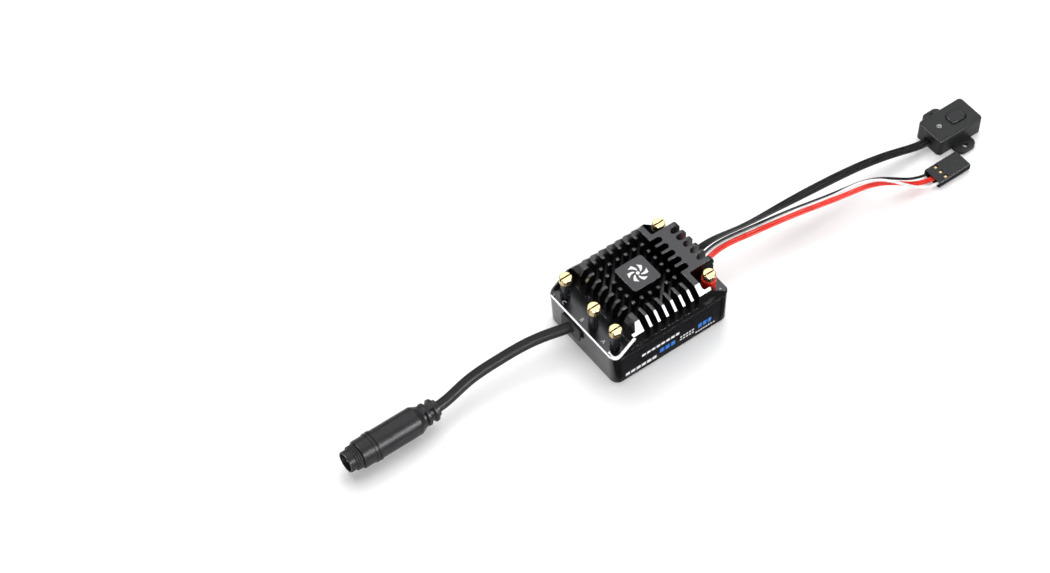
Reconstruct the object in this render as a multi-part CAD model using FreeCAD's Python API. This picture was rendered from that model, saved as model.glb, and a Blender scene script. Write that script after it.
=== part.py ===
import FreeCAD, Part
import math
import os

from FreeCAD import Vector

# Electronic speed controller for a brushless motor.
# Millimetres.  Origin: centre of the case's underside.  +Z up, +X towards the battery and
# receiver leads, -X towards the sensor cable, -Y towards the labelled side.

# ---------------------------------------------------------------- driving dimensions
case_length = 48.6
case_width = 36.0
case_height = 13.4            # underside to the joint between the two halves
total_height = 24.5           # underside to the tops of the fins
corner_radius = 3.0
wall = 1.6
clearance = 0.05              # running and assembly gap between separate pieces

fin_pitch = 3.4               # everything on the heat sink is laid out on this grid
fin_thickness = 0.3 * fin_pitch
groove_width = fin_pitch - fin_thickness
fin_centre_x = -0.25 * fin_pitch

deck_z = total_height - 3 * fin_pitch            # floor of the terminal pockets
groove_floor_z = total_height - 2.5 * fin_pitch

motor_post_x = fin_centre_x - 5.7 * fin_pitch
battery_post_x = fin_centre_x + 5.67 * fin_pitch
outer_post_y = 3.87 * fin_pitch
middle_post_y = -0.58 * fin_pitch
motor_post_top = total_height - 0.15 * fin_pitch
battery_post_top = total_height - 0.35 * fin_pitch

screw_x = 3.55 * fin_pitch                       # from the fin centre
screw_y = 14.0
screw_radius = 0.98
screw_grip = 2.0                                 # length of thread inside the heat sink

power_board_z = 9.2
power_board_thickness = 2.0
control_board_z = 2.8
control_board_thickness = 1.2

cable_radius = 1.9
plug_start_x = -77.2
plug_y = 6.35
plug_z = 6.6
plug_radius = 4.93

lead_radius = 0.55
receiver_radius = 0.48

switch_x = 137.0
switch_y = -2.0
switch_length = 20.0
switch_width = 12.0
switch_base_z = 0.2
switch_joint_z = 3.7
switch_top_z = 7.4
button_travel = 0.35

receiver_plug_x = 117.4
receiver_plug_y = -15.0
receiver_plug_length = 14.2
receiver_plug_width = 7.8
receiver_plug_height = 2.7
receiver_plug_z = 0.3
contact_pitch = 2.54

UP = Vector(0, 0, 1)


# ---------------------------------------------------------------- shape helpers
def box(x0, x1, y0, y1, z0, z1):
    return Part.makeBox(x1 - x0, y1 - y0, z1 - z0, Vector(x0, y0, z0))


def rod(radius, start, end):
    """Round bar from one point to another."""
    axis = end.sub(start)
    return Part.makeCylinder(radius, axis.Length, start, axis)


def upright(radius, x, y, z0, z1):
    return rod(radius, Vector(x, y, z0), Vector(x, y, z1))


def join(shapes):
    return shapes[0].multiFuse(shapes[1:]).removeSplitter()


def rounded_outline(x0, x1, y0, y1, radius, z):
    """Closed wire: a rectangle with round corners, lying flat at height z."""
    corners = [(x1 - radius, y1 - radius, 0), (x0 + radius, y1 - radius, 90),
               (x0 + radius, y0 + radius, 180), (x1 - radius, y0 + radius, 270)]
    arcs = []
    for x, y, start in corners:
        points = []
        for turn in (0, 45, 90):
            angle = math.radians(start + turn)
            points.append(Vector(x + radius * math.cos(angle), y + radius * math.sin(angle), z))
        arcs.append(points)
    edges = []
    for index, points in enumerate(arcs):
        following = arcs[(index + 1) % 4]
        edges.append(Part.Arc(*points).toShape())
        edges.append(Part.makeLine(points[2], following[0]))
    return Part.Wire(edges)


def rounded_plate(x0, x1, y0, y1, z0, z1, radius):
    outline = rounded_outline(x0, x1, y0, y1, radius, z0)
    return Part.Face(outline).extrude(Vector(0, 0, z1 - z0))


def prism_along_y(profile, y0, y1):
    """Solid with an X-Z outline."""
    points = [Vector(x, y0, z) for x, z in profile]
    return Part.Face(Part.makePolygon(points + points[:1])).extrude(Vector(0, y1 - y0, 0))


def prism_along_x(profile, x0, x1):
    """Solid with a Y-Z outline."""
    points = [Vector(x0, y, z) for y, z in profile]
    return Part.Face(Part.makePolygon(points + points[:1])).extrude(Vector(x1 - x0, 0, 0))


def slot_along_x(x0, x1, y, width, z0, z1):
    """Milled slot with a round end at each end."""
    radius = width / 2
    parts = [box(x0 + radius, x1 - radius, y - radius, y + radius, z0, z1),
             upright(radius, x0 + radius, y, z0, z1),
             upright(radius, x1 - radius, y, z0, z1)]
    return join(parts)


def swept_round(points, radius):
    """Round wire or cable that follows a smooth curve through the points."""
    curve = Part.BSplineCurve()
    curve.interpolate(points)
    path = Part.Wire([curve.toShape()])
    start, heading = points[0], curve.tangent(curve.FirstParameter)[0]
    section = Part.Wire([Part.makeCircle(radius, start, heading)])
    return path.makePipeShell([section], True, True)


def turned_about_plug_axis(profile):
    """Body of revolution; profile is (distance from the cable end, radius) pairs."""
    points = [Vector(plug_start_x - s, plug_y + r, plug_z) for s, r in profile]
    face = Part.Face(Part.makePolygon(points + points[:1]))
    return face.revolve(Vector(0, plug_y, plug_z), Vector(1, 0, 0), 360)


def post_places():
    """Every solder post: name, x, y and the height of its top."""
    return {
        "motor_post_a": (motor_post_x, -outer_post_y, motor_post_top),
        "motor_post_b": (motor_post_x - 0.1, middle_post_y, motor_post_top),
        "motor_post_c": (motor_post_x, outer_post_y, motor_post_top),
        "battery_post_positive": (battery_post_x, -outer_post_y, battery_post_top),
        "battery_post_negative": (battery_post_x, outer_post_y, battery_post_top),
    }


def screw_places():
    return [(fin_centre_x + side * screw_x, end * screw_y) for side in (-1, 1) for end in (-1, 1)]


# ---------------------------------------------------------------- heat sink
side_wall = 0.85
side_chamfers = {-1: (2.9, 2.9), 1: (3.6, 5.1)}  # run and drop on each long side
motor_ramp_x = fin_centre_x - 4.18 * fin_pitch
motor_ramp_slope = 45
battery_ramp_x = fin_centre_x + 4.02 * fin_pitch
battery_ramp_slope = 40
ramp_edge_width = 0.6
corner_lean = 50
end_opening_half = 14.4                          # the motor end is open between two corner lips
middle_pad_half = 2 * fin_pitch - groove_width / 2
middle_pad_radius = 1.1
middle_block_half = 2.87 * fin_pitch
middle_block_end = fin_centre_x + 7.05 * fin_pitch
knob_radius = 0.6 * fin_pitch
strip_edge_x = fin_centre_x + 3.95 * fin_pitch
back_wall_top_x = fin_centre_x - 3.87 * fin_pitch
back_wall_low_x = fin_centre_x - 4.28 * fin_pitch
rim_chamfer = 0.45
side_pocket_depth = 0.6


def side_chamfer(side):
    """Sloping cut along a long side: its top edge and its lower edge, side is -1 or 1."""
    run, drop = side_chamfers[side]
    inner = case_width / 2 - run
    outer = case_width / 2 + 1
    low = total_height - drop * (run + 1) / run
    profile = [(side * inner, total_height), (side * outer, low),
               (side * outer, total_height + 1), (side * inner, total_height + 1)]
    return prism_along_x(profile, -case_length, case_length)


def wall_ramp(top_x, slope_degrees, end, y0, y1):
    """Cut that makes the top of a side wall run down to the deck; end is -1 or 1."""
    fall = total_height - deck_z
    run = fall / math.tan(math.radians(slope_degrees))
    far = end * (case_length / 2 + 1)
    profile = [(top_x, total_height), (top_x + end * run, deck_z), (far, deck_z),
               (far, total_height + 1), (top_x, total_height + 1)]
    return prism_along_y(profile, y0, y1)


def motor_end_pocket():
    """Open pocket for the three motor posts, with a sloping wall behind them."""
    slope_foot = total_height - 0.66 * fin_pitch
    far = -case_length / 2 - 1
    above = total_height + 1
    profile = [(back_wall_top_x, total_height), (back_wall_low_x, slope_foot),
               (back_wall_low_x, deck_z), (far, deck_z), (far, above), (back_wall_top_x, above)]
    half = case_width / 2 - side_wall
    inside = rounded_plate(-case_length / 2 + side_wall, case_length / 2, -half, half,
                           deck_z - 1, above, corner_radius - side_wall)
    open_end = box(far, 0, -end_opening_half, end_opening_half, deck_z - 1, above)
    return prism_along_y(profile, -half, half).common(join([inside, open_end]))


def battery_post_pocket(side):
    inner = side * middle_block_half
    outer = side * (case_width / 2 - side_wall)
    return rounded_plate(strip_edge_x, case_length / 2 + 3, min(inner, outer), max(inner, outer),
                         deck_z, total_height + 1, 1.0)


def middle_block_nose():
    """Rounds over the end of the middle block and clears the deck beyond it."""
    shoulder = Vector(middle_block_end - knob_radius, 0, total_height)
    middle = Vector(middle_block_end - knob_radius * (1 - math.sin(math.radians(45))), 0,
                    total_height - knob_radius * (1 - math.cos(math.radians(45))))
    foot = Vector(middle_block_end, 0, total_height - knob_radius)
    far = case_length / 2 + 1
    above = total_height + 1
    rest = [foot, Vector(middle_block_end, 0, deck_z), Vector(far, 0, deck_z),
            Vector(far, 0, above), Vector(shoulder.x, 0, above), shoulder]
    edges = [Part.Arc(shoulder, middle, foot).toShape()]
    edges += [Part.makeLine(a, b) for a, b in zip(rest, rest[1:])]
    face = Part.Face(Part.Wire(edges))
    face.translate(Vector(0, -middle_block_half - 0.5, 0))
    return face.extrude(Vector(0, 2 * middle_block_half + 1, 0))


def fin_grooves():
    """Crossing grooves that leave the pins and fins, clear of the middle pad."""
    half = groove_width / 2
    top = total_height + 1
    field = 3.35 * fin_pitch
    cuts = []
    for step in range(-3, 4):
        x = fin_centre_x + step * fin_pitch
        cuts.append(box(x - half, x + half, -case_width, case_width, groove_floor_z, top))
        y = step * fin_pitch
        cuts.append(box(back_wall_low_x - 1, fin_centre_x + field, y - half, y + half,
                        groove_floor_z, top))
        if abs(step) < 3:
            cuts.append(slot_along_x(fin_centre_x + 2 * fin_pitch, fin_centre_x + 4.5 * fin_pitch,
                                     y, groove_width, groove_floor_z, top))
    pad = middle_pad_half
    cuts.append(box(fin_centre_x - pad, fin_centre_x + pad, -pad, pad, groove_floor_z, top))
    middle_pad = rounded_plate(fin_centre_x - pad, fin_centre_x + pad, -pad, pad,
                               groove_floor_z - 1, top + 1, middle_pad_radius)
    return join(cuts).cut(middle_pad)


def vent_slots():
    """Open-ended slots in the lead end of the middle block."""
    start = fin_centre_x + 5.58 * fin_pitch
    return [slot_along_x(start, case_length, step * fin_pitch, groove_width, groove_floor_z,
                         total_height + 1) for step in range(-2, 3)]


def side_pockets():
    """Shallow oblong recesses low on both long sides, near each end."""
    length = 1.55 * fin_pitch
    height = 0.6 * fin_pitch
    radius = height / 2
    z = total_height - 2.46 * fin_pitch
    cuts = []
    for centre in (-4.3 * fin_pitch, 4.55 * fin_pitch):
        x = fin_centre_x + centre
        for side in (-1, 1):
            y0 = min(side * (case_width / 2 - side_pocket_depth), side * (case_width / 2 + 1))
            y1 = y0 + side_pocket_depth + 1
            x0 = x - length / 2 + radius
            x1 = x + length / 2 - radius
            cuts.append(join([box(x0, x1, y0, y1, z - radius, z + radius),
                              rod(radius, Vector(x0, y0, z), Vector(x0, y1, z)),
                              rod(radius, Vector(x1, y0, z), Vector(x1, y1, z))]))
    return cuts


def flat_cut(point, normal):
    """Big block that rests on the plane through a point, square to the normal."""
    size = 20
    block = Part.makeBox(size, size, size, Vector(-size / 2, -size / 2, 0))
    block.Placement = FreeCAD.Placement(point, FreeCAD.Rotation(UP, normal))
    return block


def corner_facet(end, side):
    """Flat machined facet over one upright corner; end and side are -1 or 1."""
    lean = math.radians(corner_lean)
    reach = corner_radius * (1 - math.sqrt(0.5))
    low_point = Vector(end * (case_length / 2 - reach), side * (case_width / 2 - reach),
                       deck_z - rim_chamfer)
    out = math.sin(lean) * math.sqrt(0.5)
    return flat_cut(low_point, Vector(end * out, side * out, math.cos(lean)))


def ramp_edge(top_x, slope_degrees, end, side):
    """Chamfer along the outer edge of a ramp, halfway between the ramp and the side."""
    slope = math.radians(slope_degrees)
    start = Vector(top_x, side * (case_width / 2 - ramp_edge_width), total_height)
    ramp_normal = Vector(end * math.sin(slope), 0, math.cos(slope))
    along = Vector(end * math.cos(slope), 0, -math.sin(slope))
    return flat_cut(start + along * 10, ramp_normal + Vector(0, side, 0))


def end_rim(end):
    """Narrow chamfer along the outer edge of the deck."""
    face_x = end * case_length / 2
    size = end * rim_chamfer
    profile = [(face_x - size, deck_z), (face_x + size, deck_z - 2 * rim_chamfer),
               (face_x + size, deck_z + 1), (face_x - size, deck_z + 1)]
    return prism_along_y(profile, -case_width, case_width)


def heat_sink():
    half_l = case_length / 2
    half_w = case_width / 2
    body = rounded_plate(-half_l, half_l, -half_w, half_w, case_height, total_height, corner_radius)
    cuts = [wall_ramp(motor_ramp_x, motor_ramp_slope, -1, -half_w - 1, half_w + 1)]
    cuts.append(wall_ramp(battery_ramp_x, battery_ramp_slope, 1, -half_w - 1, -middle_block_half))
    cuts.append(wall_ramp(battery_ramp_x, battery_ramp_slope, 1, middle_block_half, half_w + 1))
    for side in (-1, 1):
        cuts.append(side_chamfer(side))
        cuts.append(battery_post_pocket(side))
        cuts.append(ramp_edge(motor_ramp_x, motor_ramp_slope, -1, side))
        cuts.append(ramp_edge(battery_ramp_x, battery_ramp_slope, 1, side))
        cuts += [corner_facet(end, side) for end in (-1, 1)]
    cuts += [motor_end_pocket(), middle_block_nose(), end_rim(-1), end_rim(1)]
    body = body.cut(cuts + [fin_grooves()] + vent_slots() + side_pockets())
    holes = [upright(bush_radius(name) + clearance, x, y, case_height - 1, deck_z + 1)
             for name, (x, y, _) in post_places().items()]
    holes += [upright(screw_radius + clearance, x, y, case_height - 1,
                      case_height + screw_grip + 0.4) for x, y in screw_places()]
    return body.cut(holes).removeSplitter().Solids[0]


# ---------------------------------------------------------------- case and its fittings
case_floor = 1.8
end_face_draft = 1.15          # the sensor end of the case leans in by this much at the bottom
label_half = 20.6
label_low = 0.9
label_high = 12.8
label_depth = 0.5
gasket_width = 0.7
sensor_window = (0.0, 8.6, 7.2, 12.3)            # y0, y1, z0, z1
lead_window = (-3.2, 5.6, 9.4, 12.5)


def case_block():
    half_l = case_length / 2
    half_w = case_width / 2
    low = rounded_outline(-half_l + end_face_draft, half_l, -half_w, half_w, corner_radius, 0)
    high = rounded_outline(-half_l, half_l, -half_w, half_w, corner_radius, case_height)
    block = Part.makeLoft([low, high], True, True)
    bottom_edges = [e for e in block.Edges if e.BoundBox.ZMax < 0.01]
    return block.makeFillet(0.9, bottom_edges)


def window_block(window, x0, x1, gap):
    y0, y1, z0, z1 = window
    radius = 0.8 + gap
    block = box(min(x0, x1), max(x0, x1), y0 - gap, y1 + gap, z0 - gap, z1 + gap)
    along = [e for e in block.Edges if e.BoundBox.XLength > 0.1]
    return block.makeFillet(radius, along)


def gasket_ring(width, z0, z1):
    middle = wall / 2
    rings = []
    for inset in (middle - width / 2, middle + width / 2):
        rings.append(rounded_plate(-case_length / 2 + inset, case_length / 2 - inset,
                                   -case_width / 2 + inset, case_width / 2 - inset,
                                   z0, z1, corner_radius - inset))
    return rings[0].cut(rings[1])


def case_shell():
    half_l = case_length / 2
    half_w = case_width / 2
    inner_radius = corner_radius - wall
    low = rounded_outline(-half_l + end_face_draft + wall, half_l - wall, -half_w + wall,
                          half_w - wall, inner_radius, case_floor)
    high = rounded_outline(-half_l + wall, half_l - wall, -half_w + wall, half_w - wall,
                           inner_radius, case_height)
    shell = case_block().cut(Part.makeLoft([low, high], True, True))
    bosses = []
    for x, y in screw_places():
        toward_wall = math.copysign(half_w - wall / 2, y)
        bosses.append(upright(2.5, x, y, case_floor - 0.5, case_height))
        bosses.append(box(x - 2.0, x + 2.0, min(y, toward_wall), max(y, toward_wall),
                          case_floor - 0.5, case_height))
    shell = join([shell] + bosses)
    label_recess = box(-label_half, label_half, -half_w - 1, -half_w + label_depth,
                       label_low, label_high)
    cuts = [label_recess, gasket_ring(gasket_width + 2 * clearance, case_height - 0.6,
                                      case_height + 1)]
    cuts.append(window_block(sensor_window, -half_l - 1, -half_l + 5, clearance))
    cuts.append(window_block(lead_window, half_l - 4, half_l + 1, clearance))
    for x, y in screw_places():
        cuts.append(upright(1.15, x, y, -1, case_height + 1))
        cuts.append(upright(2.1, x, y, -1, 1.7))
    return shell.cut(cuts)


def case_gasket():
    return gasket_ring(gasket_width, case_height - 0.55, case_height)


def side_label():
    gap = 0.15
    thickness = 0.3
    y0 = -case_width / 2 + label_depth - thickness
    label = box(-label_half + gap, label_half - gap, y0, y0 + thickness,
                label_low + gap, label_high - gap)
    corners = [e for e in label.Edges if e.BoundBox.YLength > 0.1]
    return label.makeFillet(0.6, corners)


def case_screws():
    """Four socket-headed screws that go up from beneath into the heat sink."""
    screws = []
    for x, y in screw_places():
        head = upright(1.9, x, y, 0.3, 1.6)
        socket = rod_hexagon(x, y, 1.5, 0, 1.0)
        shank = upright(screw_radius, x, y, 1.5, case_height + screw_grip)
        screws.append(join([head, shank]).cut(socket))
    return Part.makeCompound(screws)


def rod_hexagon(x, y, across_flats, z0, z1):
    radius = across_flats / 2 / math.cos(math.radians(30))
    points = []
    for corner in range(7):
        angle = math.radians(60 * corner)
        points.append(Vector(x + radius * math.cos(angle), y + radius * math.sin(angle), z0))
    return Part.Face(Part.makePolygon(points)).extrude(Vector(0, 0, z1 - z0))


# ---------------------------------------------------------------- boards and their components
power_board_top = power_board_z + power_board_thickness
control_board_top = control_board_z + control_board_thickness
spacer_places = [(-17.0, -9.0), (-17.2, 11.05), (15.5, -9.5), (15.5, 9.5)]


def screw_boss_clearance(z0, z1):
    cuts = []
    for x, y in screw_places():
        edge = math.copysign(case_width / 2, y)
        cuts.append(upright(2.7, x, y, z0, z1))
        cuts.append(box(x - 2.7, x + 2.7, min(y, edge), max(y, edge), z0, z1))
    return cuts


def power_board():
    z0 = power_board_z
    z1 = power_board_top
    board = rounded_plate(-22.0, 22.4, -16.1, 16.1, z0, z1, 1.2)
    cuts = screw_boss_clearance(z0 - 1, z1 + 1)
    cuts.append(box(-23, -14.2, -0.15, 9.6, z0 - 1, z1 + 1))      # sensor cable passes here
    cuts.append(box(16.4, 24, -4.2, 6.4, z0 - 1, z1 + 1))       # leads pass here
    cuts += [upright(stem_radius + 0.1, x, y, z0 - 1, z1 + 1) for x, y, _ in post_places().values()]
    return board.cut(cuts)


def control_board():
    z0 = control_board_z
    z1 = control_board_top
    board = rounded_plate(-20.6, 21.4, -15.4, 15.4, z0, z1, 1.0)
    return board.cut(screw_boss_clearance(z0 - 1, z1 + 1))


def board_spacers():
    return Part.makeCompound([upright(1.4, x, y, control_board_top, power_board_z)
                              for x, y in spacer_places])


def case_board_rests():
    """Four stubs that hold the control board off the case floor."""
    return Part.makeCompound([upright(1.5, x, y, case_floor, control_board_z)
                              for x, y in spacer_places])


def mosfets():
    packages = []
    for column in range(4):
        for row in range(3):
            x = -10.4 + column * 6.4
            y = -8.0 + row * 8.0
            body = box(x - 2.5, x + 2.5, y - 3.0, y + 3.0, power_board_top, power_board_top + 1.0)
            packages.append(body)
    return Part.makeCompound(packages)


def thermal_pad():
    return rounded_plate(-13.8, 11.8, -11.2, 11.2, power_board_top + 1.0, case_height, 0.8)


def input_capacitors():
    """Round capacitors hanging from the underside of the power board."""
    cans = []
    for y in (-7.2, 0.0, 7.2):
        can = upright(3.1, 8.6, y, power_board_z - 4.8, power_board_z)
        rim = [e for e in can.Edges if e.BoundBox.ZMax < power_board_z - 4]
        cans.append(can.makeFillet(0.5, rim))
    return Part.makeCompound(cans)


def regulator_inductor():
    z0 = control_board_top
    block = rounded_plate(-3.4, 3.4, 6.6, 13.4, z0, z0 + 3.6, 1.2)
    top = [e for e in block.Edges if e.BoundBox.ZMin > z0 + 3.5]
    return block.makeChamfer(0.5, top)


def microcontroller():
    z0 = control_board_top
    body = box(-3.5, 3.5, -6.0, 1.0, z0 + 0.1, z0 + 1.0)
    legs = []
    for step in range(8):
        along = -2.8 + step * 0.8
        for side in (-1, 1):
            legs.append(box(along - 0.15, along + 0.15, min(side * 3.2, side * 4.4) - 2.5,
                            max(side * 3.2, side * 4.4) - 2.5, z0, z0 + 0.3))
            legs.append(box(min(side * 3.2, side * 4.4), max(side * 3.2, side * 4.4),
                            along - 2.65, along - 2.35, z0, z0 + 0.3))
    return join([body] + legs)


def gate_drivers():
    z0 = control_board_top
    return Part.makeCompound([box(-9.6, -5.6, y - 2.0, y + 2.0, z0, z0 + 0.9)
                              for y in (-9.0, -3.0, 12.0)])


def board_header():
    """Strip of pins that joins the two boards."""
    z0 = control_board_top
    strip = box(-9.0, 3.6, -13.2, -11.2, z0, z0 + 2.0)
    pins = [box(x - 0.25, x + 0.25, -12.45, -11.95, z0 + 1.9, power_board_z)
            for x in (-8.0 + 1.27 * n for n in range(9))]
    return join([strip] + pins)


def sensor_header():
    """Upright socket that takes the inner end of the sensor cable."""
    block = box(-19.6, -14.8, 1.2, 7.4, control_board_top, 12.4)
    return block.cut(sensor_cable_shape(clearance))


# ---------------------------------------------------------------- solder posts and bushes
head_radius = 2.2
head_height = 2.5
head_rounding = 0.45
stem_radius = 1.2
stem_below_board = 0.9
collar_radius = 1.9
collar_height = 0.6
wire_slot_width = 0.6
wire_slot_depth = 1.0


def bush_radius(name):
    return 2.5 if name.startswith("battery") else 1.7


def solder_post(name):
    """Slotted gilt post; the slot runs along X to hold the stripped wire."""
    x, y, top = post_places()[name]
    head = upright(head_radius, x, y, top - head_height, top)
    rim = [e for e in head.Edges if e.BoundBox.ZMin > top - 0.01]
    head = head.makeFillet(head_rounding, rim)
    stem = upright(stem_radius, x, y, power_board_z - stem_below_board, top - head_height + 0.1)
    collar = upright(collar_radius, x, y, power_board_z - collar_height, power_board_z)
    half_slot = wire_slot_width / 2
    slot = box(x - 3, x + 3, y - half_slot, y + half_slot, top - wire_slot_depth, top + 1)
    return join([head, stem, collar]).cut(slot)


def post_bush(name):
    """Insulating sleeve between the post and the heat sink."""
    x, y, top = post_places()[name]
    sleeve = upright(bush_radius(name), x, y, case_height, top - head_height)
    return sleeve.cut(upright(stem_radius + clearance, x, y, case_height - 1, top))


def motor_post_bushes():
    return Part.makeCompound([post_bush("motor_post_" + letter) for letter in "abc"])


# ---------------------------------------------------------------- sensor cable and plug
def sensor_cable_shape(extra=0.0):
    points = [Vector(-18.6, 4.2, 9.8), Vector(-24.3, 4.3, 9.9), Vector(-31.0, 5.7, 10.1),
              Vector(-38.0, 7.1, 10.0), Vector(-52.2, 8.2, 9.0), Vector(-64.0, 8.0, 7.9),
              Vector(plug_start_x + 2.0, plug_y + 0.1, plug_z + 0.04),
              Vector(plug_start_x - 3.0, plug_y, plug_z), Vector(plug_start_x - 7.5, plug_y, plug_z)]
    return swept_round(points, cable_radius + extra)


def sensor_grommet():
    outside = -case_length / 2 - 0.7
    inside = -case_length / 2 + 3.4
    y0, y1, z0, z1 = sensor_window
    body = window_block(sensor_window, outside, inside, 0)
    flange = window_block((y0 - 0.5, y1 + 0.5, z0 - 0.5, z1 + 0.5), outside,
                          -case_length / 2 - 0.02, 0)
    return join([body, flange]).cut(sensor_cable_shape(clearance))


def sensor_strain_relief():
    """Flexible end of the plug: two large ribs and a neck, slotted between them."""
    bore = cable_radius + clearance
    body = turned_about_plug_axis([(0.0, bore), (0.0, 2.9), (0.9, 3.0), (1.0, 3.6), (1.3, 3.95),
                                   (2.1, 3.95), (2.4, 3.6), (2.4, 2.9), (3.8, 2.9), (3.8, 3.6),
                                   (4.1, 3.95), (4.9, 3.95), (5.2, 3.6), (5.2, 3.0), (5.8, 3.0),
                                   (5.8, 3.8), (6.5, 3.8), (6.5, bore)])
    bridges = []
    for start, length in ((2.3, 1.6), (5.1, 0.8)):
        for side in (-1, 1):
            x1 = plug_start_x - start
            bridges.append(box(x1 - length, x1, plug_y - 1.3, plug_y + 1.3,
                               plug_z + min(side * 2.5, side * 3.6),
                               plug_z + max(side * 2.5, side * 3.6)))
    return join([body] + bridges).cut(sensor_cable_shape(clearance))


def sensor_plug_body():
    """Moulded grip of the plug, with a round shoulder at the cable side."""
    bore = cable_radius + clearance
    start = 6.55
    end = 24.0
    shoulder = []
    for degrees in (0, 20, 40, 60, 90):
        rise = math.sin(math.radians(degrees))
        shoulder.append((start + 1.9 * rise, plug_radius - 0.9 * (1 - rise)))
    grip = turned_about_plug_axis([(start, bore)] + shoulder + [(end, plug_radius), (end, bore)])
    finger_flat = box(plug_start_x - 20.5, plug_start_x - 10.5, plug_y - 6, plug_y + 6,
                      plug_z + 4.7, plug_z + 6)
    return grip.cut([finger_flat, sensor_cable_shape(clearance)])


def sensor_plug_collar():
    """Metal-look collar with two thin flanges; it carries the nose."""
    return turned_about_plug_axis([(24.05, 2.2), (24.05, 5.2), (24.75, 5.2), (24.75, 4.8),
                                   (25.5, 4.8), (25.5, 5.15), (26.1, 5.15), (26.1, 4.85),
                                   (30.4, 4.85), (30.6, 4.65), (30.6, 3.75), (27.0, 3.75),
                                   (27.0, 2.2)])


def sensor_plug_nose():
    """Thin hollow tube that enters the motor's socket."""
    return turned_about_plug_axis([(27.05, 2.2), (27.05, 3.7), (35.1, 3.7), (35.3, 3.55),
                                   (35.3, 3.2), (28.2, 3.2), (28.2, 2.2)])


def sensor_plug_seals():
    rings = []
    for s in (31.1, 31.85, 32.6):
        centre = Vector(plug_start_x - s, plug_y, plug_z)
        rings.append(Part.makeTorus(4.0, 0.27, centre, Vector(1, 0, 0)))
    return Part.makeCompound(rings)


def pin_circle():
    """Five pins on a circle and one in the middle."""
    places = [(plug_y, plug_z)]
    for step in range(5):
        angle = math.radians(90 + 72 * step)
        places.append((plug_y + 1.9 * math.cos(angle), plug_z + 1.9 * math.sin(angle)))
    return places


def sensor_pin_carrier():
    carrier = rod(3.15, Vector(plug_start_x - 28.3, plug_y, plug_z),
                  Vector(plug_start_x - 31.2, plug_y, plug_z))
    holes = [rod(0.3, Vector(plug_start_x - 27, y, z), Vector(plug_start_x - 32, y, z))
             for y, z in pin_circle()]
    return carrier.cut(holes)


def sensor_pins():
    return Part.makeCompound([rod(0.27, Vector(plug_start_x - 28.4, y, z),
                                  Vector(plug_start_x - 34.2, y, z)) for y, z in pin_circle()])


# ---------------------------------------------------------------- leads
switch_lead_pitch = 2 * lead_radius + clearance
receiver_lead_pitch = 2 * receiver_radius + clearance

# x, y, z of the middle of the flat lead, and the lead's tilt about X in degrees
switch_lead_path = [
    (17.6, 3.2, 4.3, -8), (18.3, 3.2, 7.4, -8), (21.0, 3.2, 10.4, -10), (24.4, 3.2, 11.0, -12),
    (29.0, 3.0, 12.7, -45), (44.0, 1.5, 13.3, -10), (58.0, 0.9, 12.5, 0), (79.0, 0.8, 10.5, 0),
    (101.5, 0.2, 7.5, 0), (114.0, -0.9, 5.0, 0), (124.0, switch_y, 3.1, 0),
    (129.4, switch_y, 2.9, 0)]
receiver_lead_path = [
    (17.6, -1.2, 4.3, 0), (18.3, -1.2, 7.4, 0), (21.0, -1.2, 10.4, 0), (24.4, -1.1, 10.9, 0),
    (30.0, -0.3, 11.8, 0), (44.5, -0.6, 11.5, 0), (65.0, -3.3, 10.8, 0), (82.5, -6.2, 10.1, 0),
    (94.0, -8.4, 9.6, 0), (103.0, -11.4, 6.6, 0), (111.0, -14.1, 3.0, 0),
    (receiver_plug_x + 0.2, receiver_plug_y, 1.65, 0),
    (receiver_plug_x + 2.6, receiver_plug_y, 1.65, 0)]
lead_samples = 30


def middle_of_lead(path):
    """Evenly spaced points on the smooth middle line, each with the tilt there."""
    line = Part.BSplineCurve()
    line.interpolate([Vector(x, y, z) for x, y, z, _ in path])
    turn = Part.BSplineCurve()
    turn.interpolate([Vector(x, tilt, 0) for x, _, _, tilt in path])
    for step in range(lead_samples + 1):
        fraction = step / lead_samples
        here = line.value(line.FirstParameter
                          + fraction * (line.LastParameter - line.FirstParameter))
        tilt = turn.value(turn.FirstParameter
                          + fraction * (turn.LastParameter - turn.FirstParameter)).y
        yield fraction, here, math.radians(tilt)


def wire_in_lead(path, radius, sideways_at):
    """One wire of a flat lead; sideways_at gives its (offset, lift) at each fraction of it."""
    points = []
    for fraction, here, tilt in middle_of_lead(path):
        offset, lift = sideways_at(fraction)
        points.append(here + Vector(0, offset * math.cos(tilt), offset * math.sin(tilt) + lift))
    return swept_round(points, radius)


def switch_lead_shape(extra=0.0):
    wires = []
    for place in (-1, 0, 1):
        offset = place * switch_lead_pitch
        wires.append(wire_in_lead(switch_lead_path, lead_radius + extra, lambda f: (offset, 0)))
    return wires


def smooth_share(value, start, end):
    """0 before start, 1 after end, and a smooth rise between."""
    share = min(1.0, max(0.0, (value - start) / (end - start)))
    return share * share * (3 - 2 * share)


def receiver_wire(start_place, end_offset, lift_height=0.0, extra=0.0):
    """Wire that leaves the case at start_place and ends end_offset from the plug's middle."""
    def sideways(fraction):
        blend = smooth_share(fraction, 0.66, 0.94)
        lift = lift_height * math.sin(math.pi * smooth_share(fraction, 0.55, 0.97))
        offset = start_place * receiver_lead_pitch * (1 - blend) + end_offset * blend
        return offset, lift
    return wire_in_lead(receiver_lead_path, receiver_radius + extra, sideways)


def receiver_wire_black(extra=0.0):
    return receiver_wire(1.5, contact_pitch + 0.1, 0.0, extra)


def receiver_wire_white(extra=0.0):
    return receiver_wire(0.5, -contact_pitch - 0.1, 1.8, extra)


def receiver_wires_red(extra=0.0):
    return [receiver_wire(-0.5, receiver_lead_pitch / 2, 0.0, extra),
            receiver_wire(-1.5, -receiver_lead_pitch / 2, 0.0, extra)]


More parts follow.
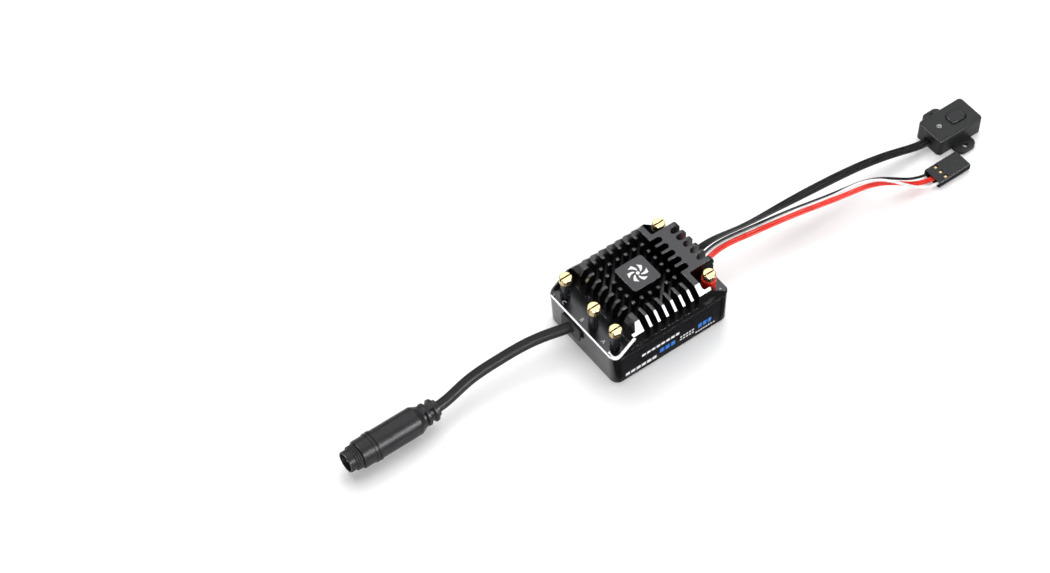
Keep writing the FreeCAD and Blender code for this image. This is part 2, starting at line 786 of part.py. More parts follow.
def lead_grommet():
    outside = case_length / 2 + 0.7
    inside = case_length / 2 - 2.6
    y0, y1, z0, z1 = lead_window
    body = window_block(lead_window, inside, outside, 0)
    flange = window_block((y0 - 0.4, y1 + 0.4, z0 - 0.4, z1 + 0.4), case_length / 2 + 0.02,
                          outside, 0)
    wires = switch_lead_shape(clearance) + receiver_wires_red(clearance)
    wires += [receiver_wire_black(clearance), receiver_wire_white(clearance)]
    return join([body, flange]).cut(wires)


# ---------------------------------------------------------------- receiver plug
def receiver_plug():
    x0 = receiver_plug_x
    x1 = x0 + receiver_plug_length
    half = receiver_plug_width / 2
    z0 = receiver_plug_z
    z1 = z0 + receiver_plug_height
    body = box(x0, x1, receiver_plug_y - half, receiver_plug_y + half, z0, z1)
    long_edges = [e for e in body.Edges if e.BoundBox.XLength > 1]
    body = body.makeChamfer(0.35, long_edges)
    cuts = []
    for place in (-1, 0, 1):
        y = receiver_plug_y + place * contact_pitch
        cuts.append(box(x0 - 1, x1 + 1, y - 0.95, y + 0.95, z0 + 0.35, z0 + 2.35))
        cuts.append(box(x0 + 3.0, x0 + 4.6, y - 0.7, y + 0.7, z0 + 2, z1 + 1))
    cuts.append(box(x0 - 1, x0 + 2.6, receiver_plug_y - 3.4, receiver_plug_y + 3.4,
                    z0 + 0.35, z0 + 2.35))
    return body.cut(cuts)


def receiver_contacts():
    """Three folded sheet contacts, each open towards the mating pin."""
    x0 = receiver_plug_x + 2.8
    x1 = receiver_plug_x + receiver_plug_length - 0.6
    middle_z = receiver_plug_z + receiver_plug_height / 2
    contacts = []
    for place in (-1, 0, 1):
        y = receiver_plug_y + place * contact_pitch
        sleeve = box(x0, x1, y - 0.85, y + 0.85, middle_z - 0.9, middle_z + 0.9)
        hollow = box(x0 + 0.5, x1 + 1, y - 0.6, y + 0.6, middle_z - 0.65, middle_z + 0.65)
        contacts.append(sleeve.cut(hollow))
    return Part.makeCompound(contacts)


# ---------------------------------------------------------------- power switch
ear_reach = 4.6
ear_hole_y = 8.4
ear_thickness = 1.6
switch_wall = 1.1
button_length = 7.0
button_width = 5.0
button_top_z = switch_top_z + 0.9
switch_board_z = 2.6
switch_board_top = switch_board_z + 0.8
tact_top = switch_board_top + 1.7
plunger_top = tact_top + 0.45
button_x = switch_x + 2.4
light_x = switch_x - 5.4


def switch_outline(inset, z0, z1, radius):
    half_l = switch_length / 2 - inset
    half_w = switch_width / 2 - inset
    return rounded_plate(switch_x - half_l, switch_x + half_l, switch_y - half_w,
                         switch_y + half_w, z0, z1, radius)


def switch_wire_slot():
    half = 1.5 * switch_lead_pitch + 0.15
    x = switch_x - switch_length / 2
    return box(x - 1, x + 2, switch_y - half, switch_y + half, 2.1, switch_joint_z + 0.1)


def switch_base():
    body = switch_outline(0, switch_base_z, switch_joint_z, 1.6)
    reach = switch_width / 2 + ear_reach
    ears = rounded_plate(switch_x - 4.0, switch_x + 4.0, switch_y - reach, switch_y + reach,
                         switch_base_z, switch_base_z + ear_thickness, 2.4)
    body = join([body, ears])
    cuts = [switch_outline(switch_wall, switch_base_z + 1.2, switch_joint_z + 1, 0.8),
            switch_wire_slot()]
    for side in (-1, 1):
        cuts.append(upright(1.1, switch_x, switch_y + side * ear_hole_y, 0, 4))
    shelf = switch_outline(switch_wall, switch_base_z + 1.2, switch_board_z, 0.8)
    shelf = shelf.cut(switch_outline(switch_wall + 0.9, 0, 4, 0.6))
    shelf = shelf.cut(switch_wire_slot())
    return join([body.cut(cuts), shelf])


def button_opening(gap, z0, z1):
    half_l = button_length / 2 + gap
    half_w = button_width / 2 + gap
    return rounded_plate(button_x - half_l, button_x + half_l, switch_y - half_w,
                         switch_y + half_w, z0, z1, 1.6)


def switch_cover():
    body = switch_outline(0, switch_joint_z, switch_top_z, 1.6)
    top_edges = [e for e in body.Edges if e.BoundBox.ZMin > switch_top_z - 0.01]
    body = body.makeFillet(0.9, top_edges)
    cavity = switch_outline(switch_wall, switch_joint_z - 1, switch_top_z - 1.1, 0.8)
    hole = button_opening(0.1, switch_top_z - 2, switch_top_z + 1)
    window = upright(1.0, light_x, switch_y, switch_top_z - 2, switch_top_z + 1)
    return body.cut([cavity, hole, window])


def switch_board():
    half_l = switch_length / 2 - switch_wall - 0.1
    half_w = switch_width / 2 - switch_wall - 0.1
    board = rounded_plate(switch_x - half_l, switch_x + half_l, switch_y - half_w,
                          switch_y + half_w, switch_board_z, switch_board_top, 0.9)
    return board.cut(box(switch_x - half_l - 1, switch_x - 7.2, switch_y - 2.2, switch_y + 2.2,
                         0, switch_board_top + 1))


def tact_switch():
    body = box(button_x - 3.0, button_x + 3.0, switch_y - 1.8, switch_y + 1.8,
               switch_board_top, tact_top)
    well = upright(1.2, button_x, switch_y, switch_board_top + 0.4, tact_top + 1)
    return body.cut(well)


def tact_plunger():
    return upright(1.1, button_x, switch_y, switch_board_top + 0.4 + button_travel + 0.1,
                   plunger_top)


def switch_button():
    """Cap that rests on the plunger; its flange is trapped under the cover."""
    flange_top = switch_top_z - 1.1 - 0.02
    flange = button_opening(0.7, flange_top - 0.5, flange_top)
    cap = button_opening(0, flange_top - 0.1, button_top_z)
    rim = [e for e in cap.Edges if e.BoundBox.ZMin > button_top_z - 0.01]
    cap = cap.makeFillet(0.7, rim)
    stalk = upright(1.3, button_x, switch_y, plunger_top + 0.01, flange_top - 0.4)
    return join([flange, cap, stalk])


def status_light():
    return box(light_x - 0.8, light_x + 0.8, switch_y - 0.6, switch_y + 0.6, switch_board_top,
               switch_board_top + 0.7)


def light_window():
    """Clear rod that carries the status light to the cover."""
    rod_part = upright(0.95, light_x, switch_y, switch_board_top + 0.9, switch_top_z + 0.15)
    flange = upright(1.5, light_x, switch_y, switch_top_z - 1.9, switch_top_z - 1.15)
    return join([rod_part, flange])


# ---------------------------------------------------------------- node list
def all_nodes():
    nodes = {
        "heat_sink": heat_sink(),
        "case_shell": case_shell(),
        "case_gasket": case_gasket(),
        "side_label": side_label(),
        "case_screws": case_screws(),
        "power_board": power_board(),
        "control_board": control_board(),
        "board_spacers": board_spacers(),
        "board_rests": case_board_rests(),
        "mosfets": mosfets(),
        "thermal_pad": thermal_pad(),
        "input_capacitors": input_capacitors(),
        "regulator_inductor": regulator_inductor(),
        "microcontroller": microcontroller(),
        "gate_drivers": gate_drivers(),
        "board_header": board_header(),
        "sensor_header": sensor_header(),
        "motor_post_bushes": motor_post_bushes(),
        "battery_bush_positive": post_bush("battery_post_positive"),
        "battery_bush_negative": post_bush("battery_post_negative"),
        "sensor_grommet": sensor_grommet(),
        "sensor_cable": sensor_cable_shape(),
        "sensor_strain_relief": sensor_strain_relief(),
        "sensor_plug_body": sensor_plug_body(),
        "sensor_plug_collar": sensor_plug_collar(),
        "sensor_plug_nose": sensor_plug_nose(),
        "sensor_plug_seals": sensor_plug_seals(),
        "sensor_pin_carrier": sensor_pin_carrier(),
        "sensor_pins": sensor_pins(),
        "lead_grommet": lead_grommet(),
        "switch_lead": Part.makeCompound(switch_lead_shape()),
        "receiver_wire_black": receiver_wire_black(),
        "receiver_wire_white": receiver_wire_white(),
        "receiver_wires_red": Part.makeCompound(receiver_wires_red()),
        "receiver_plug": receiver_plug(),
        "receiver_contacts": receiver_contacts(),
        "switch_base": switch_base(),
        "switch_cover": switch_cover(),
        "switch_board": switch_board(),
        "tact_switch": tact_switch(),
        "tact_plunger": tact_plunger(),
        "switch_button": switch_button(),
        "status_light": status_light(),
        "light_window": light_window(),
    }
    for name in post_places():
        nodes[name] = solder_post(name)
    return nodes


def write_parts():
    os.makedirs("parts", exist_ok=True)
    for name, shape in all_nodes().items():
        shape.exportStep(os.path.join("parts", name + ".step"))


write_parts()
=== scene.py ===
import math

import bmesh
import bpy
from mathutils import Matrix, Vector


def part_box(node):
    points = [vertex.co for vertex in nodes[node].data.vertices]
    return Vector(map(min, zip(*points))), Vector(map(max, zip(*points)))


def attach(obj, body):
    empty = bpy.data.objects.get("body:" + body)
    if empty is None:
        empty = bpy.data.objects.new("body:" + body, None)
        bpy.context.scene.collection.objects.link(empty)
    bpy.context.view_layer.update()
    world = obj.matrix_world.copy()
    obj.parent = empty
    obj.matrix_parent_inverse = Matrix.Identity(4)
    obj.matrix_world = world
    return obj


# Looks of an electronic speed controller.  Metres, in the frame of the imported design:
# +Z up, +X towards the leads, -X towards the sensor cable, -Y towards the labelled side.

MM = 0.001

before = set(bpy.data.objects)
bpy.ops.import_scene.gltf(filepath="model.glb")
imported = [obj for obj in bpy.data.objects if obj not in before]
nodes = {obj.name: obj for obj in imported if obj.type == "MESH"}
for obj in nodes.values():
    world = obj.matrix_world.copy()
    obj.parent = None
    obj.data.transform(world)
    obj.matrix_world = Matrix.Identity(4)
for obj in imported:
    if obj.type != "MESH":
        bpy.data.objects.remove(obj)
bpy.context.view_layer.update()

CASE_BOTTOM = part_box("case_shell")[0].z
SINK_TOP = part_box("heat_sink")[1].z
LABEL_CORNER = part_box("side_label")[0]
FIN_PITCH = 3.4 * MM
# The middle pad lies a quarter of a pitch towards the motor posts, the deck three below it.
PAD_CENTRE = Vector((-0.25 * FIN_PITCH, 0.0, SINK_TOP))
DECK_Z = SINK_TOP - 3 * FIN_PITCH


# ---------------------------------------------------------------- node materials
class Surface:
    """One procedural material built around a Principled shader, in object coordinates."""

    # Noise rarely leaves the middle of 0 to 1, so these bounds are what gets stretched.
    COLOUR_NOISE = (0.35, 0.65)
    ROUGHNESS_NOISE = (0.3, 0.7)
    # Cosine between the flat and the rounded normal, off an edge and on it.
    OFF_EDGE = 0.99
    ON_EDGE = 0.82

    def __init__(self, name, colour, roughness, metallic=0.0, specular=0.5):
        self.material = bpy.data.materials.new(name)
        self.material.use_nodes = True
        self.tree = self.material.node_tree
        self.shader = self.tree.nodes["Principled BSDF"]
        self.shader.inputs["Base Color"].default_value = (*colour, 1.0)
        self.shader.inputs["Roughness"].default_value = roughness
        self.shader.inputs["Metallic"].default_value = metallic
        self.shader.inputs["Specular IOR Level"].default_value = specular
        self.colour = colour
        self.place = self.add("ShaderNodeTexCoord").outputs["Object"]
        self.normal = None

    def add(self, kind, **settings):
        node = self.tree.nodes.new(kind)
        for name, value in settings.items():
            setattr(node, name, value)
        return node

    def join(self, source, target):
        self.tree.links.new(source, target)

    def calculate(self, operation, first, second):
        """Result of a Math node; first and second are each a number or a socket."""
        node = self.add("ShaderNodeMath", operation=operation)
        for socket, value in zip(node.inputs, (first, second)):
            if isinstance(value, float):
                socket.default_value = value
            else:
                self.join(value, socket)
        return node.outputs["Value"]

    def stretched(self, scale):
        mapping = self.add("ShaderNodeMapping")
        mapping.inputs["Scale"].default_value = scale
        self.join(self.place, mapping.inputs["Vector"])
        return mapping.outputs["Vector"]

    def noise(self, grain, detail=2.0, scale=(1, 1, 1)):
        """Cloudy value between 0 and 1; grain is the size of a blotch in metres."""
        texture = self.add("ShaderNodeTexNoise")
        texture.inputs["Scale"].default_value = 1.0 / grain
        texture.inputs["Detail"].default_value = detail
        self.join(self.stretched(scale), texture.inputs["Vector"])
        return texture.outputs["Fac"]

    def cells(self, grain):
        """Distance to the middle of the nearest cell; grain is a cell's size in metres."""
        texture = self.add("ShaderNodeTexVoronoi")
        texture.inputs["Scale"].default_value = 1.0 / grain
        self.join(self.place, texture.inputs["Vector"])
        return texture.outputs["Distance"]

    def remap(self, value, low, high, new_low=0.0, new_high=1.0):
        """Takes low to new_low and high to new_high, and stays between those two."""
        node = self.add("ShaderNodeMapRange")
        node.inputs["From Min"].default_value = low
        node.inputs["From Max"].default_value = high
        node.inputs["To Min"].default_value = new_low
        node.inputs["To Max"].default_value = new_high
        self.join(value, node.inputs["Value"])
        return node.outputs["Result"]

    def blend_colours(self, share, first, second):
        """Colour that goes from first to second; each is a tuple or a socket."""
        node = self.add("ShaderNodeMix", data_type="RGBA")
        self.join(share, node.inputs["Factor"])
        for socket, value in (("A", first), ("B", second)):
            target = [s for s in node.inputs if s.name == socket and s.type == "RGBA"][0]
            if isinstance(value, tuple):
                target.default_value = (*value, 1.0)
            else:
                self.join(value, target)
        return [s for s in node.outputs if s.type == "RGBA"][0]

    def set_colour(self, source):
        self.join(source, self.shader.inputs["Base Color"])

    def mottle(self, grain, spread, **noise_settings):
        """Varies the base colour by spread around its own value."""
        dark = tuple(c * (1 - spread) for c in self.colour)
        light = tuple(min(1.0, c * (1 + spread)) for c in self.colour)
        share = self.remap(self.noise(grain, **noise_settings), *self.COLOUR_NOISE)
        result = self.blend_colours(share, dark, light)
        self.set_colour(result)
        return result

    def vary_roughness(self, grain, low, high, **noise_settings):
        cloud = self.noise(grain, **noise_settings)
        value = self.remap(cloud, *self.ROUGHNESS_NOISE, low, high)
        self.join(value, self.shader.inputs["Roughness"])

    def soften_edges(self, radius):
        """Rounds sharp edges in the shading and returns a mask that is 1 on an edge."""
        bevel = self.add("ShaderNodeBevel", samples=4)
        bevel.inputs["Radius"].default_value = radius
        self.normal = bevel.outputs["Normal"]
        self.join(self.normal, self.shader.inputs["Normal"])
        flat = self.add("ShaderNodeNewGeometry").outputs["Normal"]
        product = self.add("ShaderNodeVectorMath", operation="DOT_PRODUCT")
        self.join(self.normal, product.inputs[0])
        self.join(flat, product.inputs[1])
        return self.remap(product.outputs["Value"], self.OFF_EDGE, self.ON_EDGE)

    def painted_crevice_shade(self, reach, strength):
        """Ambient occlusion used as painted shade: 1 in the open, falling towards 0 in narrow
        gaps.
        """
        occlusion = self.add("ShaderNodeAmbientOcclusion", samples=8)
        occlusion.inputs["Distance"].default_value = reach
        return self.calculate("POWER", occlusion.outputs["AO"], strength)

    def bump(self, height, depth, strength):
        node = self.add("ShaderNodeBump")
        node.inputs["Strength"].default_value = strength
        node.inputs["Distance"].default_value = depth
        self.join(height, node.inputs["Height"])
        if self.normal is not None:
            self.join(self.normal, node.inputs["Normal"])
        self.normal = node.outputs["Normal"]
        self.join(self.normal, self.shader.inputs["Normal"])


def anodised_metal():
    """Bead-blasted, dark anodised aluminium with slightly rubbed edges."""
    rubbed_colour = (0.09, 0.09, 0.094)
    s = Surface("anodised_metal", (0.042, 0.042, 0.044), 0.33, metallic=1.0)
    edge = s.soften_edges(0.09 * MM)
    base = s.mottle(0.35 * MM, 0.1, detail=3.0)
    wear = s.remap(s.noise(1.1 * MM, detail=3.0), 0.38, 0.62, new_low=0.3)
    s.set_colour(s.blend_colours(s.calculate("MULTIPLY", edge, wear), base, rubbed_colour))
    s.vary_roughness(0.9 * MM, 0.2, 0.27, detail=3.0)
    s.bump(s.noise(0.11 * MM), depth=0.008 * MM, strength=0.35)
    return s.material


def glossy_case_plastic():
    """Smooth black moulding, a little orange-peeled."""
    s = Surface("glossy_case_plastic", (0.004, 0.004, 0.005), 0.14)
    s.soften_edges(0.15 * MM)
    s.mottle(3.0 * MM, 0.2)
    s.vary_roughness(2.2 * MM, 0.1, 0.18, detail=3.0)
    s.bump(s.noise(1.4 * MM, detail=1.0), depth=0.02 * MM, strength=0.35)
    return s.material


def label_film():
    """Dark printed film with a faint waviness."""
    s = Surface("label_film", (0.0045, 0.0035, 0.006), 0.3, specular=0.25)
    s.mottle(0.25 * MM, 0.35, detail=3.0)
    s.vary_roughness(4.0 * MM, 0.25, 0.34)
    s.bump(s.noise(2.5 * MM), depth=0.01 * MM, strength=0.3)
    return s.material


def printed_ink(name, colour):
    """Screen-printed ink, almost matt."""
    s = Surface(name, colour, 0.42)
    s.mottle(0.18 * MM, 0.06, detail=3.0)
    s.vary_roughness(0.5 * MM, 0.36, 0.5)
    s.bump(s.noise(0.12 * MM), depth=0.004 * MM, strength=0.4)
    return s.material


def gilt_brass():
    """Turned and gold-plated brass: fine rings round the post, a soft sheen, and painted shade
    in its crevices and head slots.
    """
    painted_shade_colour = (0.04, 0.02, 0.005)
    s = Surface("gilt_brass", (0.6, 0.47, 0.25), 0.22, metallic=1.0)
    s.soften_edges(0.08 * MM)
    plated = s.mottle(0.8 * MM, 0.08, detail=3.0)
    # Painted shade: the plating colour goes to near black in crevices such as the head slots.
    unshaded_share = s.painted_crevice_shade(reach=1.2 * MM, strength=2.5)
    s.set_colour(s.blend_colours(unshaded_share, painted_shade_colour, plated))
    s.vary_roughness(0.4 * MM, 0.17, 0.3, scale=(1, 1, 5))
    rings = s.noise(0.16 * MM, detail=1.0, scale=(0.12, 0.12, 3.0))
    s.bump(rings, depth=0.006 * MM, strength=0.5)
    return s.material


def moulded_plastic(name, colour, roughness, grain=0.16 * MM, specular=0.18):
    """Fine-textured injection moulding."""
    s = Surface(name, colour, roughness, specular=specular)
    s.soften_edges(0.08 * MM)
    s.mottle(1.6 * MM, 0.14, detail=3.0)
    s.vary_roughness(0.7 * MM, roughness - 0.07, roughness + 0.07)
    s.bump(s.noise(grain), depth=0.012 * MM, strength=0.6)
    return s.material


def cable_jacket(name, colour, roughness, sheen=0.15):
    """Drawn rubber or silicone: faint marks that run along the wire."""
    s = Surface(name, colour, roughness, specular=0.16)
    s.shader.inputs["Sheen Weight"].default_value = sheen
    s.mottle(0.9 * MM, 0.16, detail=3.0, scale=(0.15, 1, 1))
    s.vary_roughness(0.6 * MM, roughness - 0.08, roughness + 0.08, scale=(0.2, 1, 1))
    s.bump(s.noise(0.2 * MM, scale=(0.25, 1, 1)), depth=0.015 * MM, strength=0.5)
    return s.material


def circuit_board():
    """Solder mask over copper tracks."""
    bare_mask = (0.012, 0.06, 0.03)
    mask_on_copper = (0.03, 0.16, 0.07)
    s = Surface("circuit_board", bare_mask, 0.3)
    tracks = s.remap(s.cells(1.1 * MM), 0.28, 0.34)
    s.set_colour(s.blend_colours(tracks, bare_mask, mask_on_copper))
    s.bump(tracks, depth=0.02 * MM, strength=0.5)
    return s.material


def plain_metal(name, colour, roughness):
    s = Surface(name, colour, roughness, metallic=1.0)
    s.soften_edges(0.06 * MM)
    s.mottle(0.6 * MM, 0.1, detail=3.0)
    s.vary_roughness(0.5 * MM, roughness - 0.06, roughness + 0.06)
    return s.material


def clear_acrylic():
    """Clear plastic that lets the status light through."""
    s = Surface("clear_acrylic", (0.93, 0.95, 0.96), 0.12)
    s.shader.inputs["Transmission Weight"].default_value = 0.85
    s.mottle(0.8 * MM, 0.03)
    s.bump(s.noise(0.3 * MM), depth=0.004 * MM, strength=0.3)
    return s.material


def paint(material, *names):
    """Gives the named CAD nodes one material."""
    for name in names:
        slots = nodes[name].data.materials
        slots.clear()
        slots.append(material)


def paint_nodes():
    rubber_black = cable_jacket("black_rubber", (0.006, 0.006, 0.0065), 0.45, sheen=0.01)
    silicone_black = cable_jacket("black_silicone", (0.005, 0.005, 0.0055), 0.34, sheen=0.02)
    plug_plastic = moulded_plastic("plug_moulding", (0.014, 0.014, 0.016), 0.36,
                                   grain=0.22 * MM)
    black_moulding = moulded_plastic("black_moulding", (0.014, 0.015, 0.016), 0.4)
    chip_epoxy = moulded_plastic("chip_epoxy", (0.02, 0.02, 0.022), 0.5, grain=0.1 * MM)
    seal_rubber = cable_jacket("seal_rubber", (0.008, 0.008, 0.008), 0.6)

    paint(anodised_metal(), "heat_sink")
    paint(glossy_case_plastic(), "case_shell")
    paint(label_film(), "side_label")
    paint(seal_rubber, "case_gasket", "sensor_grommet", "lead_grommet", "sensor_plug_seals")
    paint(plain_metal("black_steel", (0.06, 0.06, 0.065), 0.35), "case_screws")
    paint(circuit_board(), "power_board", "control_board", "switch_board")
    paint(chip_epoxy, "mosfets", "microcontroller", "gate_drivers", "board_spacers",
          "tact_switch")
    paint(moulded_plastic("silicone_pad", (0.25, 0.3, 0.42), 0.6), "thermal_pad")
    paint(plain_metal("drawn_can", (0.72, 0.72, 0.74), 0.28), "input_capacitors")
    paint(plain_metal("pressed_ferrite", (0.09, 0.09, 0.1), 0.6), "regulator_inductor")
    paint(gilt_brass(), "motor_post_a", "motor_post_b", "motor_post_c",
          "battery_post_positive", "battery_post_negative", "sensor_pins",
          "receiver_contacts")
    paint(moulded_plastic("bush_moulding", (0.012, 0.014, 0.015), 0.24, grain=0.4 * MM,
                          specular=0.4), "motor_post_bushes", "battery_bush_negative")
    paint(moulded_plastic("red_bush_moulding", (0.72, 0.025, 0.01), 0.26, grain=0.4 * MM,
                          specular=0.4), "battery_bush_positive")
    paint(rubber_black, "sensor_cable")
    paint(plug_plastic, "sensor_strain_relief", "sensor_plug_body", "sensor_plug_collar",
          "sensor_plug_nose", "switch_button")
    paint(black_moulding, "board_rests", "board_header", "sensor_header", "sensor_pin_carrier",
          "receiver_plug", "switch_base", "switch_cover", "tact_plunger")
    paint(silicone_black, "switch_lead", "receiver_wire_black")
    paint(cable_jacket("red_silicone", (0.78, 0.022, 0.008), 0.34), "receiver_wires_red")
    paint(cable_jacket("white_silicone", (0.86, 0.86, 0.86), 0.36), "receiver_wire_white")
    paint(clear_acrylic(), "light_window", "status_light")


# ---------------------------------------------------------------- flat printed marks
INK_THICKNESS = 0.03 * MM
BLADES = 6
BLADE_STEPS = 6
BLADE_ROOT = 1.15 * MM
BLADE_LENGTH = 2.35 * MM
# Angles in radians: how far a blade leans, how wide it is at its root, how much it swells.
# The swell follows a sine that has run through SWELL_RUN at the tip, just past its peak.
BLADE_SWEEP = 0.55
BLADE_WIDTH = 0.30
BLADE_SWELL = 0.22
SWELL_RUN = 0.55 * math.pi
HUB_RADIUS = 0.62 * MM
HUB_POINTS = 24
SIGN_SIZE = 2.0 * MM


def link(name, data):
    """Puts a new object into the scene."""
    item = bpy.data.objects.new(name, data)
    bpy.context.scene.collection.objects.link(item)
    return item


def build_mesh(name, draw):
    """Mesh that draw fills in, with its normals pointing out."""
    mesh = bpy.data.meshes.new(name)
    geometry = bmesh.new()
    draw(geometry)
    bmesh.ops.recalc_face_normals(geometry, faces=geometry.faces)
    geometry.to_mesh(mesh)
    geometry.free()
    return mesh


def add_mark(name, data, material, place=(0, 0, 0), turn=0.0):
    """Printed mark that rides on the controller, in the material it is given.
    It stands at place, turned about +Z by turn radians."""
    data.materials.append(material)
    mark = link(name, data)
    mark.location = place
    mark.rotation_euler.z = turn
    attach(mark, "controller")


def raised_shape(geometry, outline, lift):
    """Closed thin tile: outline is a ring of points, lift the vector to its upper face."""
    low = [geometry.verts.new(point) for point in outline]
    high = [geometry.verts.new(point + lift) for point in outline]
    geometry.faces.new(low)
    geometry.faces.new(list(reversed(high)))
    count = len(outline)
    for index in range(count):
        after = (index + 1) % count
        geometry.faces.new((low[index], high[index], high[after], low[after]))


def pad_point(radius, angle):
    """Point on the middle pad at a radius and an angle round its centre."""
    return PAD_CENTRE + Vector((radius * math.cos(angle), radius * math.sin(angle), 0))


def pad_mark(geometry):
    """Six swept blades round a hub: a plain rotor sign on the middle pad."""
    lift = Vector((0, 0, INK_THICKNESS))
    for blade in range(BLADES):
        start = math.tau * blade / BLADES
        leading = []
        trailing = []
        for step in range(BLADE_STEPS + 1):
            share = step / BLADE_STEPS
            radius = BLADE_ROOT + BLADE_LENGTH * share
            angle = start + BLADE_SWEEP * share
            width = BLADE_WIDTH + BLADE_SWELL * math.sin(SWELL_RUN * share)
            leading.append(pad_point(radius, angle))
            trailing.append(pad_point(radius, angle + width))
        raised_shape(geometry, leading + list(reversed(trailing)), lift)
    hub = [pad_point(HUB_RADIUS, math.tau * point / HUB_POINTS) for point in range(HUB_POINTS)]
    raised_shape(geometry, hub, lift)


def label_bar(geometry, along, up, length, height):
    """Upright plain bar on the label, in millimetres from the label's lower corner."""
    outline = [LABEL_CORNER + Vector((x, 0, z)) * MM
               for x, z in ((along, up), (along + length, up), (along + length, up + height),
                            (along, up + height))]
    raised_shape(geometry, outline, Vector((0, -INK_THICKNESS, 0)))


def row_of_bars(geometry, along, up, count, length, gap, height):
    """Equal bars side by side, the first at (along, up) from the label's lower corner."""
    for index in range(count):
        label_bar(geometry, along + index * (length + gap), up, length, height)


def white_label_print(geometry):
    """Rows of equal upright bars, a plain pattern that stands for no word or sign."""
    row_of_bars(geometry, 1.5, 1.0, count=6, length=1.7, gap=0.5, height=1.4)
    row_of_bars(geometry, 8.0, 6.3, count=8, length=1.5, gap=0.5, height=1.15)
    for row in (3.6, 2.2):
        row_of_bars(geometry, 24.0, row, count=5, length=0.8, gap=0.45, height=0.7)
    row_of_bars(geometry, 30.6, 1.0, count=8, length=0.7, gap=0.35, height=0.6)


def blue_label_print(geometry):
    """Two groups of wider bars in blue."""
    row_of_bars(geometry, 15.6, 2.3, count=3, length=1.7, gap=0.6, height=2.1)
    row_of_bars(geometry, 31.6, 3.0, count=3, length=1.5, gap=0.5, height=2.0)


def add_prints():
    white = printed_ink("white_ink", (0.88, 0.88, 0.9))
    blue = printed_ink("blue_ink", (0.015, 0.2, 0.7))
    for name, draw, ink in (("pad_mark", pad_mark, white),
                            ("label_print_white", white_label_print, white),
                            ("label_print_blue", blue_label_print, blue)):
        add_mark(name, build_mesh(name, draw), ink)


def add_terminal_signs():
    """Small terminal signs on the deck: letter, post, and millimetres along X and Y
    from the post's axis."""
    ink = printed_ink("sign_ink", (0.55, 0.55, 0.56))
    signs = (("A", "motor_post_a", (-1.8, 3.8)),
             ("B", "motor_post_b", (-1.8, 3.8)),
             ("C", "motor_post_c", (-2.3, -2.2)),
             ("+", "battery_post_positive", (3.4, -2.2)),
             ("-", "battery_post_negative", (3.4, 2.2)))
    for letter, post, (along, across) in signs:
        low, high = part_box(post)
        text = bpy.data.curves.new("sign_" + post, "FONT")
        text.body = letter
        text.size = SIGN_SIZE
        text.extrude = INK_THICKNESS / 2
        text.align_x = "CENTER"
        text.align_y = "CENTER"
        middle = (low + high) / 2
        place = (middle.x + along * MM, middle.y + across * MM, DECK_Z + INK_THICKNESS / 2)
        add_mark("sign_" + post, text, ink, place, turn=math.radians(-90))


# ---------------------------------------------------------------- stage
# The painted shade in the floor's reflections fades in along Y from its start to full, the
# glow by distance from the origin.
FLOOR_HALF = 3.0
FLOOR_GAP = 0.02 * MM
REFLECTED_SHADE_START = -16 * MM
REFLECTED_SHADE_FULL = -20 * MM
# Colour of the painted shade that reflections of the floor on the labelled side show.
REFLECTED_SHADE_COLOUR = (0.02, 0.02, 0.02)
NEAR_GLOW = 0.2
FAR_GLOW = 1.0
GLOW_START = 0.2
GLOW_FULL = 0.9
LIGHT_TARGET = Vector((0.0, 0.0, 0.012))
PANEL_DISTANCE = 0.8
PANEL_HEIGHT = 0.24
WORLD_BRIGHTNESS = 0.15


def pale_floor():
    """Pale floor that glows, with painted shade on the labelled side that only reflections
    see.
    """
    s = Surface("pale_floor", (0.8, 0.8, 0.8), 0.25, specular=0.4)
    # Painted shade: a dark patch on the labelled side, seen only in reflections, keeps that
    # side's reflections black.
    axes = s.add("ShaderNodeSeparateXYZ")
    s.join(s.place, axes.inputs["Vector"])
    reflected_shade = s.remap(axes.outputs["Y"], REFLECTED_SHADE_START, REFLECTED_SHADE_FULL)
    reflected = s.add("ShaderNodeLightPath").outputs["Is Glossy Ray"]
    seen_reflected_shade = s.calculate("MULTIPLY", reflected_shade, reflected)
    s.set_colour(s.blend_colours(seen_reflected_shade, s.colour, REFLECTED_SHADE_COLOUR))
    # The floor glows more far away, so that it stays white where the soft box doesn't reach.
    distance = s.add("ShaderNodeVectorMath", operation="LENGTH")
    s.join(s.place, distance.inputs[0])
    glow = s.remap(distance.outputs["Value"], GLOW_START, GLOW_FULL, NEAR_GLOW, FAR_GLOW)
    outside_reflected_shade = s.calculate("SUBTRACT", 1.0, seen_reflected_shade)
    s.join(s.calculate("MULTIPLY", glow, outside_reflected_shade), s.shader.inputs["Emission Strength"])
    s.shader.inputs["Emission Color"].default_value = (1, 1, 1, 1)
    return s.material


def add_floor():
    mesh = bpy.data.meshes.new("floor")
    geometry = bmesh.new()
    bmesh.ops.create_grid(geometry, x_segments=2, y_segments=2, size=FLOOR_HALF)
    geometry.to_mesh(mesh)
    geometry.free()
    mesh.materials.append(pale_floor())
    floor = link("floor", mesh)
    floor.location.z = CASE_BOTTOM - FLOOR_GAP


def add_soft_box(name, toward, distance, width, height, brightness):
    """Soft box at a distance in the direction toward, aimed at the controller.
    Brightness is how white its own face looks."""
    data = bpy.data.lights.new(name, "AREA")
    data.shape = "RECTANGLE"
    data.size = width
    data.size_y = height
    data.energy = brightness * math.pi * width * height
    light = link(name, data)
    light.location = LIGHT_TARGET + toward.normalized() * distance
    light.rotation_euler = (LIGHT_TARGET - light.location).to_track_quat("-Z", "Y").to_euler()
    return light


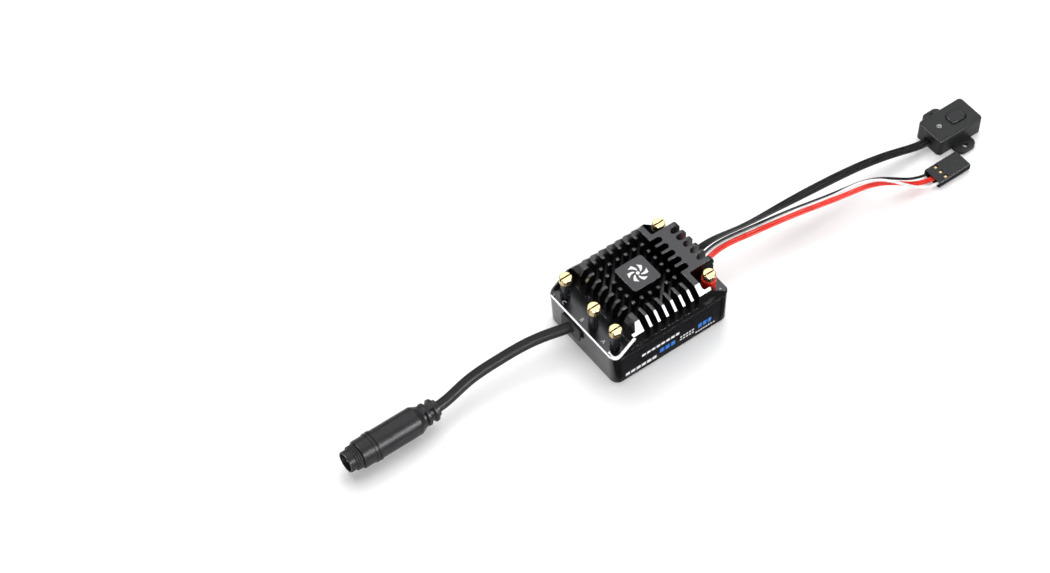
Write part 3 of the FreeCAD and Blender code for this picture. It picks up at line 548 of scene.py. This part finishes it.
def add_glint_panels():
    """Small upright panels that only reflections show; they light up the chamfers.
    Each has an azimuth from +X, the elevation of its middle, a width and a brightness."""
    for azimuth, elevation, width, brightness in ((-66, 29, 0.36, 50),
                                                  (-125, 9, 0.3, 60),
                                                  (-141, 31, 0.24, 40),
                                                  (148, 26, 0.28, 42)):
        turn = math.radians(azimuth)
        tilt = math.radians(elevation)
        toward = Vector((math.cos(turn) * math.cos(tilt), math.sin(turn) * math.cos(tilt),
                         math.sin(tilt)))
        panel = add_soft_box("panel_%d" % azimuth, toward, PANEL_DISTANCE, width,
                             PANEL_HEIGHT, brightness)
        panel.visible_diffuse = False


def add_lights():
    """A wide soft box overhead, a front fill that stays out of reflections, and the panels."""
    add_soft_box("top_box", Vector((0.26, 0.36, 0.9)), distance=0.98, width=1.4, height=1.4,
                 brightness=2.6)
    fill = add_soft_box("front_fill", Vector((-0.25, -0.85, 0.45)), distance=1.1, width=1.0,
                        height=0.8, brightness=2.2)
    fill.visible_glossy = False
    add_glint_panels()
    world = bpy.data.worlds.new("studio")
    world.use_nodes = True
    background = world.node_tree.nodes["Background"]
    background.inputs["Color"].default_value = (1, 1, 1, 1)
    background.inputs["Strength"].default_value = WORLD_BRIGHTNESS
    bpy.context.scene.world = world


# Azimuth from +Y towards +X, depression below the horizon and roll are in degrees.
CAMERA_AZIMUTH = 36.5
CAMERA_DEPRESSION = 52.4
CAMERA_ROLL = -0.3
CAMERA_DISTANCE = 0.875
CAMERA_AIM = Vector((-0.0222, 0.0327, 0.0))
CAMERA_LENS = 89.55
CAMERA_SENSOR = 36.0


def add_camera():
    data = bpy.data.cameras.new("camera")
    data.sensor_width = CAMERA_SENSOR
    data.lens = CAMERA_LENS
    camera = link("camera", data)
    azimuth = math.radians(CAMERA_AZIMUTH)
    down = math.radians(CAMERA_DEPRESSION)
    look = Vector((math.sin(azimuth) * math.cos(down), math.cos(azimuth) * math.cos(down),
                   -math.sin(down)))
    camera.location = CAMERA_AIM - look * CAMERA_DISTANCE
    camera.rotation_euler = look.to_track_quat("-Z", "Y").to_euler()
    camera.rotation_euler.rotate_axis("Z", math.radians(CAMERA_ROLL))
    bpy.context.scene.camera = camera
    bpy.context.scene.view_settings.view_transform = "Standard"


paint_nodes()
add_prints()
add_terminal_signs()
add_floor()
add_lights()
add_camera()

bpy.context.view_layer.update()
